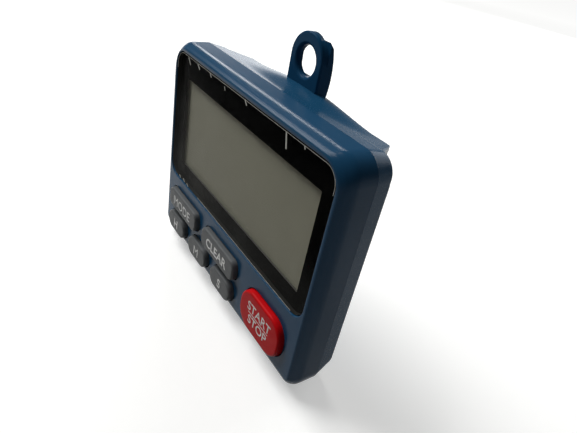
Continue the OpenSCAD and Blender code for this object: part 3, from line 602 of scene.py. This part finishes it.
class TIMER_OT_lens(bpy.types.Operator):
    """Models the clear lens with its adhesive, a painted highlight along its lower edge and a dark painted
    reflection at its edge, and the gasket round the display with painted shade.
    """

    bl_idname = "timer.lens"
    bl_label = "Lens and gasket"

    def plate(self, case):
        """The clear plate with rounded edges."""
        bm = bmesh.new()
        soft = 0.15 * MM
        front = lens_form(case, case.lens_sink)
        back = back_by(front, case.lens_back - case.lens_sink)
        first, last = skin(
            bm,
            turned(grown(front, -soft), front, back_by(front, soft))
            + turned(back_by(back, -soft), back, grown(back, -soft)),
        )
        closed(bm, first)
        closed(bm, last)
        # Clear acrylic: the gloss is that of the print and the film behind it, under a pale, patchy veil
        finish, tree, shader, place = new_finish("Clear acrylic", IOR=1.0, Base_Color=linear("#b4b4ae"))
        patchy = add(tree, "ShaderNodeTexNoise", {"Vector": place, "Scale": 1 / (9 * MM), "Detail": 5.0})
        # The veil is thicker low down and to the left, where it greys the black print
        low = add(
            tree, "ShaderNodeVectorMath", {0: place, 1: (0.35, 0.0, 1.0)}, operation="DOT_PRODUCT"
        )
        low_left = add(
            tree, "ShaderNodeMapRange",
            {
                "Value": low.outputs["Value"], "From Min": 12 * MM, "From Max": 45 * MM,
                "To Min": 0.15, "To Max": 0.003,
            },
        )
        veil = add(
            tree, "ShaderNodeMath", {0: low_left.outputs["Result"], 1: patchy.outputs["Fac"]},
            operation="MULTIPLY",
        )
        tree.links.new(veil.outputs[0], shader.inputs["Alpha"])
        piece(bm, "window_lens", "case", "clear_lens", finish, "display_lens")

    def bond_and_highlight(self, case):
        """The thin line of adhesive under the upper edge of the lens, with runs above and below, and a
        painted highlight along the lower edge of the lens.
        """
        bm = bmesh.new()
        near, thick = 0.19 * MM, 0.02 * MM
        line = 0.1 * MM
        line_low = 49 * MM
        outer = grown(lens_form(case, near), -0.16 * MM)
        inner = grown(outer, -line)
        ring(bm, [outer, back_by(outer, thick)], [inner, back_by(inner, thick)])
        bmesh.ops.bisect_plane(
            bm, geom=bm.verts[:] + bm.edges[:] + bm.faces[:], plane_co=(0, 0, line_low), plane_no=(0, 0, 1),
            clear_inner=True,
        )
        bmesh.ops.holes_fill(bm, edges=[e for e in bm.edges if e.is_boundary], sides=8)
        # Start and way of each run, in millimetres of x and height, and its width
        runs = (
            ((-25.81, 53.2), (1.26, -1.42), 0.32), ((-20.74, 53.2), (1.22, -0.88), 0.3),
            ((-14.42, 53.4), (0.83, -0.83), 0.3), ((-7.33, 52.85), (0.43, -0.73), 0.3),
            ((1.43, 53.4), (0.87, -0.93), 0.34), ((16.54, 53.4), (0.81, -3.05), 0.4),
            ((22.28, 53.3), (0.24, -0.52), 0.3), ((-26.78, 21.4), (0.81, -0.6), 0.3),
            ((-24.21, 21.5), (0.92, -0.65), 0.3), ((-21.91, 21.3), (0.95, -0.55), 0.26),
            # The last run is no adhesive but a painted highlight: a pale strip where the rim of the recess
            # catches light
            ((-15.0, 20.86), (43.5, 0.0), 0.12),
        )
        for (x, z), (over, down), wide in runs:
            middle = ((x + over / 2) * MM, FRONT_Y + near + thick / 2, (z + down / 2) * MM)
            turn = Matrix.Rotation(math.atan2(over, down), 4, "Y")
            size = Matrix.Diagonal((wide * MM, thick, math.hypot(over, down) * MM, 1))
            bmesh.ops.create_cube(bm, size=1.0, matrix=Matrix.Translation(middle) @ turn @ size)
        # Clear adhesive gone cloudy: pale, thin and uneven; the same pale colour paints the highlight along
        # the lower edge
        adhesive_and_highlight = moulded(
            "Milky adhesive and painted highlight", linear("#c9c8bf"), 0.6, grain=0.5 * MM, amount=0.2, cloud=2 * MM
        )
        piece(bm, "lens_bond_and_highlight", "case", "adhesive", adhesive_and_highlight)

    def edge(self, case):
        """The edge of the lens, painted dark grey as a reflection of the black print."""
        bm = bmesh.new()
        start = 0.35 * MM
        thick = 0.06 * MM
        outer = grown(lens_form(case, start), -0.01 * MM)
        inner = grown(outer, -thick)
        deep = case.lens_back - start
        ring(bm, [outer, back_by(outer, deep)], [inner, back_by(inner, deep)])
        # Painted reflection: the clear edge of the lens is coloured dark grey for the black print it
        # mirrors, a little lighter for the light it catches
        dark = moulded("Lens edge painted reflection", linear("#282826"), 0.3, grain=2 * MM, depth=0.0, IOR=1.1)
        piece(bm, "lens_edge", "case", "border_ink", dark)

    def gasket(self, case):
        """The gasket round the display, painted dark as shade."""
        bm = bmesh.new()
        deep = 0.5 * MM
        outer = grown(window_form(case), -0.02 * MM)
        inner = grown(window_form(case), -0.3 * MM)
        ring(bm, [outer, back_by(outer, deep)], [inner, back_by(inner, deep)])
        # Painted shade: the ring is coloured dark grey for the shadow band inside the display opening;
        # dull, with fine pores
        foam = moulded("Gasket painted shade", linear("#45453f"), 0.8, grain=0.4 * MM, depth=0.01 * MM)
        piece(bm, "display_gasket", "case", "white_frame", foam)

    def execute(self, context):
        case = context.scene.timer_case
        self.plate(case)
        self.bond_and_highlight(case)
        self.edge(case)
        self.gasket(case)
        return {"FINISHED"}


class TIMER_OT_keys(bpy.types.Operator):
    """Models the six keys with rounded edges and their printed legends."""

    bl_idname = "timer.keys"
    bl_label = "Keys and legends"

    def cap(self, keys, shape):
        """A key cap: flat top, rounded edge, straight flank and flat back."""
        top = keys.print_lift - keys.proud
        bm = bmesh.new()
        face = grown(shape, -keys.edge, top)
        edge = back_by(shape, top)
        flank = back_by(shape, top + keys.edge_depth)
        first, last = skin(bm, turned(face, edge, flank, 7) + [back_by(shape, keys.back)])
        closed(bm, first)
        closed(bm, last)
        return bm

    def word(self, bm, text, weight, height, middle):
        """Adds one flat word to the mesh, its middle at a place; the weight thickens its strokes."""
        curve = bpy.data.curves.new("legend", "FONT")
        curve.body = text
        curve.align_x = "CENTER"
        curve.align_y = "CENTER"
        curve.resolution_u = 4
        curve.offset = weight
        holder = bpy.data.objects.new("legend", curve)
        bpy.context.scene.collection.objects.link(holder)
        bpy.context.view_layer.update()
        graph = bpy.context.evaluated_depsgraph_get()
        mesh = bpy.data.meshes.new_from_object(holder.evaluated_get(graph))
        bpy.data.objects.remove(holder)
        lows = Vector([min(v.co[i] for v in mesh.vertices) for i in range(3)])
        highs = Vector([max(v.co[i] for v in mesh.vertices) for i in range(3)])
        size = height / (highs.y - lows.y)
        mesh.transform(
            Matrix.Translation(middle) @ UPRIGHT @ Matrix.Scale(size, 4)
            @ Matrix.Translation(-(lows + highs) / 2)
        )
        bm.from_mesh(mesh)
        bpy.data.meshes.remove(mesh)

    def execute(self, context):
        keys = context.scene.timer_keys
        colours = context.scene.timer_colours
        # Grey ABS with a matt spark grain: dull, with a soft light along the rounded edges
        grey = moulded("Grey matt ABS keys", colours.grey_key, 0.46, IOR=1.22)
        # Red ABS, shinier than the grey keys
        red = moulded("Red satin ABS key", colours.red_key, 0.36, IOR=1.13)
        # Pad-printed ink: thin, matt and slightly uneven
        ink = moulded("Pale pad print", colours.legend, 0.6, amount=0.12, cloud=1.5 * MM)
        # Each word with its place above the middle and its added weight; an M is clean only without one
        plain, light, bold = 0.0, 0.008, 0.018
        words = {
            "mode_key": [("MODE", 0.0, plain)],
            "clear_key": [("CLEAR", 0.0, bold)],
            "hour_key": [("H", 0.0, bold)],
            "minute_key": [("M", 0.0, plain)],
            "second_key": [("S", 0.0, bold)],
            "start_stop_key": [("START", keys.start_line, light), ("STOP", -keys.start_line, light)],
        }
        for node, shape in key_forms(keys).items():
            body = node + "_cap"
            start = node == "start_stop_key"
            slot = "red_key" if start else "grey_key"
            height = keys.start_letter if start else keys.letter
            piece(self.cap(keys, shape), node + "_top", body, slot, red if start else grey, node)
            bm = bmesh.new()
            middle = Vector((shape[0], FRONT_Y + keys.hair - keys.proud, (shape[2] + shape[3]) / 2))
            for text, up, weight in words[node]:
                self.word(bm, text, weight, height, middle + Vector((0, 0, up)))
            if start:
                size = Matrix.Diagonal((keys.line_width, keys.line_weight, 1, 1))
                bmesh.ops.create_grid(
                    bm, x_segments=1, y_segments=1, size=0.5,
                    matrix=Matrix.Translation(middle) @ UPRIGHT @ size,
                )
            bmesh.ops.solidify(bm, geom=bm.faces[:], thickness=keys.print_lift)
            piece(bm, node + "_legend", body, slot, ink)
        return {"FINISHED"}


class TIMER_OT_inside(bpy.types.Operator):
    """Gives every solid that stays its own finish."""

    bl_idname = "timer.inside"
    bl_label = "Finishes of the other pieces"

    def execute(self, context):
        colours = context.scene.timer_colours
        flat = 0.001 * MM
        # Polarizing film over a reflective display: an even grey with a faint green cast
        film = moulded(
            "Grey polarizing film", colours.display, 0.4, grain=6 * MM, depth=0.0, amount=0.03, IOR=1.1
        )
        finishes = {
            # Screen print seen through the lens: deep black, dense and even
            "border_film": moulded(
                "Black screen print", colours.border, 0.16, grain=4 * MM, depth=0.0, IOR=1.025
            ),
            "lcd_polarizer": film,
            "lcd_reflector": film,
            # Soft foam tape, pale and dull
            "lens_tape": moulded(
                "White foam tape", linear("#d8d8d2"), 0.8, grain=0.15 * MM, depth=0.02 * MM
            ),
            # Plain moulded frame, white and half matt
            "lcd_frame": moulded("White moulded frame", linear("#e2e2dc"), 0.5),
            # Display glass seen only at its edges: grey green and smooth
            "lcd_front_glass": moulded("Display glass", linear("#8f948c"), 0.1, depth=flat),
            "lcd_rear_glass": moulded("Display glass back", linear("#8a8f87"), 0.1, depth=flat),
            # Silicone strip in layers: pink and banded
            "zebra_strip": moulded(
                "Pink silicone strip", linear("#d9b8a8"), 0.6, cloud=0.4 * MM, amount=0.3
            ),
            # Solder mask on glass cloth: a green gloss over a faint weave
            "circuit_board": moulded(
                "Green solder mask", linear("#2f6b3f"), 0.3, grain=0.6 * MM, amount=0.15
            ),
            # Epoxy drop, domed and shiny
            "controller_blob": moulded("Black epoxy", linear("#15171a"), 0.25, grain=0.8 * MM),
            # Fired ceramic chips, tan and dull
            "board_capacitors": moulded("Tan ceramic", linear("#b59a72"), 0.5),
            # Silicone mat, dull and slightly dusty
            "key_mat": moulded("Grey silicone", linear("#9a9c98"), 0.7),
            # Silvered ceramic disc, pale and half matt
            "piezo_ceramic": moulded("Silvered ceramic", linear("#d8d4c8"), 0.4),
            # Printed steel sleeve of the cell: a dim metal sheen
            "battery": plated("Printed cell sleeve", linear("#6d7073"), 0.35, stretch=(1.0, 6.0, 6.0)),
            # Deep-drawn can, bright with fine lines
            "crystal": plated("Drawn steel can", linear("#b8bcc0"), 0.25),
            # Wound wire under lacquer, red brown
            "boost_coil": plated(
                "Lacquered copper wire", linear("#9a5a34"), 0.35, stretch=(1.0, 12.0, 1.0)
            ),
            # Thin gold over nickel, warm and bright
            "contact_pads": plated("Gold flash", linear("#c8a050"), 0.25),
            # Rolled sheet, yellow with fine lines
            "piezo_plate": plated("Rolled brass", linear("#c9a24a"), 0.3),
            # Drawn wire, bright
            "buzzer_springs": plated("Spring wire", linear("#c4c8cc"), 0.25),
            "battery_spring": plated("Nickel spring wire", linear("#c4c8cc"), 0.25),
            # Pressed sheet with a warm grey plating
            "positive_contact": plated("Nickel plate", linear("#b8bcc0"), 0.3),
            "negative_contact": plated("Nickel plate left", linear("#b8bcc0"), 0.3),
            # Barrel-plated screws, grey and uneven
            "case_screws": plated("Zinc plated steel", linear("#8f9498"), 0.35),
            "board_screws": plated("Zinc plated steel inside", linear("#8f9498"), 0.35),
        }
        for node, finish in finishes.items():
            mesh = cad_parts[node].data
            mesh.materials.clear()
            mesh.materials.append(finish)
        return {"FINISHED"}


class TIMER_OT_stage(bpy.types.Operator):
    """Sets the floor, the lamps, the backdrop and the camera."""

    bl_idname = "timer.stage"
    bl_label = "Floor, lamps and camera"

    def lamp(self, name, power, width, height, place):
        """A soft lamp turned to the middle of the timer."""
        aim = Vector((0.0, 0.0, 0.03))
        light = bpy.data.lights.new(name, "AREA")
        light.energy = power
        light.shape = "RECTANGLE"
        light.size = width
        light.size_y = height
        holder = bpy.data.objects.new(name, light)
        holder.location = place
        holder.rotation_euler = (aim - Vector(place)).to_track_quat("-Z", "Y").to_euler()
        bpy.context.scene.collection.objects.link(holder)

    def seen(self, tree):
        """One for what the eye, a reflection or a clear piece sees, none for light on its way elsewhere."""
        path = add(tree, "ShaderNodeLightPath")
        first = add(
            tree, "ShaderNodeMath", {0: path.outputs["Is Camera Ray"], 1: path.outputs["Is Glossy Ray"]},
            operation="MAXIMUM",
        )
        both = add(
            tree, "ShaderNodeMath", {0: first.outputs[0], 1: path.outputs["Is Transmission Ray"]},
            operation="MAXIMUM",
        )
        return both.outputs[0]

    def floor(self, scene):
        """A pale floor that keeps the shadow near the timer and fades to white away from it."""
        half_width = 8.0
        bm = bmesh.new()
        bmesh.ops.create_grid(bm, x_segments=8, y_segments=8, size=half_width)
        mesh = bpy.data.meshes.new("floor")
        bm.to_mesh(mesh)
        bm.free()
        floor = bpy.data.objects.new("floor", mesh)
        scene.collection.objects.link(floor)
        # Matt paper: even and pale, with no gloss; it throws little light back on the timer
        paper, tree, shader, place = new_finish(
            "Pale matt paper", Roughness=0.9, IOR=1.0, Emission_Color=linear("#fcfcfb")
        )
        seen = self.seen(tree)
        fibre = add(tree, "ShaderNodeTexNoise", {"Vector": place, "Scale": 1 / (2 * MM), "Detail": 4.0})
        pale = add(
            tree, "ShaderNodeMix",
            {0: fibre.outputs["Fac"], 6: linear("#dededc"), 7: linear("#e4e4e2")}, data_type="RGBA",
        )
        tone = add(
            tree, "ShaderNodeMix", {0: seen, 6: linear("#484848"), 7: pale.outputs[2]}, data_type="RGBA"
        )
        far = add(tree, "ShaderNodeVectorMath", {0: place}, operation="LENGTH")
        fade = add(
            tree, "ShaderNodeMapRange",
            {
                "Value": far.outputs["Value"], "From Min": 0.1, "From Max": 1.2,
                "To Min": 0.42, "To Max": 0.9,
            },
        )
        glow = add(tree, "ShaderNodeMath", {0: fade.outputs["Result"], 1: seen}, operation="MULTIPLY")
        tree.links.new(tone.outputs[2], shader.inputs["Base Color"])
        tree.links.new(glow.outputs[0], shader.inputs["Emission Strength"])
        mesh.materials.append(paper)

    def surroundings(self, scene):
        """A room that is pale round the horizon and dimmer above."""
        world = bpy.data.worlds.new("studio")
        world.use_nodes = True
        scene.world = world
        tree = world.node_tree
        way = add(tree, "ShaderNodeTexCoord").outputs["Generated"]
        height = add(tree, "ShaderNodeSeparateXYZ", {0: way})
        shade = add(
            tree, "ShaderNodeMapRange",
            {
                "Value": height.outputs["Z"], "From Min": 0.06, "From Max": 0.3,
                "To Min": 0.46, "To Max": 0.08,
            },
            interpolation_type="SMOOTHSTEP",
        )
        back = tree.nodes["Background"]
        back.inputs["Color"].default_value = linear("#f4f6f8")
        tree.links.new(shade.outputs["Result"], back.inputs["Strength"])

    def camera(self, scene):
        """The camera at the angle of the photograph."""
        eye = bpy.data.cameras.new("photo_view")
        eye.lens = 29.365
        eye.sensor_width = 36.0
        eye.clip_start = 1 * MM
        eye.clip_end = 50.0
        holder = bpy.data.objects.new("photo_view", eye)
        holder.location = (78.44 * MM, -55.26 * MM, 84.81 * MM)
        holder.rotation_euler = Euler([math.radians(a) for a in (57.4514, -10.3234, 56.5515)], "XYZ")
        scene.collection.objects.link(holder)
        scene.camera = holder

    def execute(self, context):
        scene = context.scene
        scene.view_settings.view_transform = "Standard"
        self.floor(scene)
        self.surroundings(scene)
        self.lamp("sky_lamp", 5.2, 0.4, 0.4, (-0.42, -0.18, 0.6))
        self.lamp("window_lamp", 0.75, 0.4, 0.2, (-0.79, 0.42, 0.1))
        self.lamp("back_lamp", 2.5, 0.5, 0.4, (-0.15, 0.8, 0.25))
        # A row of small lamps along the line that the upper edge of the case mirrors
        row = (
            (-0.69, 0.235, 0.375), (-0.64, 0.27, 0.425), (-0.59, 0.305, 0.47), (-0.54, 0.34, 0.52),
            (-0.49, 0.375, 0.565),
        )
        for number, spot in enumerate(row):
            self.lamp(f"edge_lamp_{number}", 0.24, 0.07, 0.07, spot)
        self.camera(scene)
        return {"FINISHED"}


class TIMER_PT_panel(bpy.types.Panel):
    """Lists the steps and the sizes of the timer."""

    bl_idname = "TIMER_PT_panel"
    bl_label = "Kitchen timer"
    bl_space_type = "VIEW_3D"
    bl_region_type = "UI"
    bl_category = "Timer"

    def draw(self, context):
        for step in OPERATORS:
            self.layout.operator(step.bl_idname)
        for name in GROUPS:
            store = getattr(context.scene, name)
            box = self.layout.box()
            for key in store.__annotations__:
                box.prop(store, key)


GROUPS = {
    "timer_case": TimerCase,
    "timer_cover": TimerCover,
    "timer_keys": TimerKeys,
    "timer_colours": TimerColours,
}
OPERATORS = (
    TIMER_OT_front, TIMER_OT_cover, TIMER_OT_lens, TIMER_OT_keys, TIMER_OT_inside, TIMER_OT_stage,
)
CLASSES = (*GROUPS.values(), *OPERATORS, TIMER_PT_panel)


def register():
    """Registers the classes and the scene's settings."""
    for kind in CLASSES:
        bpy.utils.register_class(kind)
    for name, group in GROUPS.items():
        setattr(bpy.types.Scene, name, PointerProperty(type=group))


def unregister():
    """Takes the settings and the classes out again."""
    for name in GROUPS:
        delattr(bpy.types.Scene, name)
    for kind in reversed(CLASSES):
        bpy.utils.unregister_class(kind)


def main():
    """Builds the timer and its stage."""
    register()
    bpy.ops.timer.front()
    bpy.ops.timer.cover()
    bpy.ops.timer.lens()
    bpy.ops.timer.keys()
    bpy.ops.timer.inside()
    bpy.ops.timer.stage()


if __name__ == "__main__":
    main()
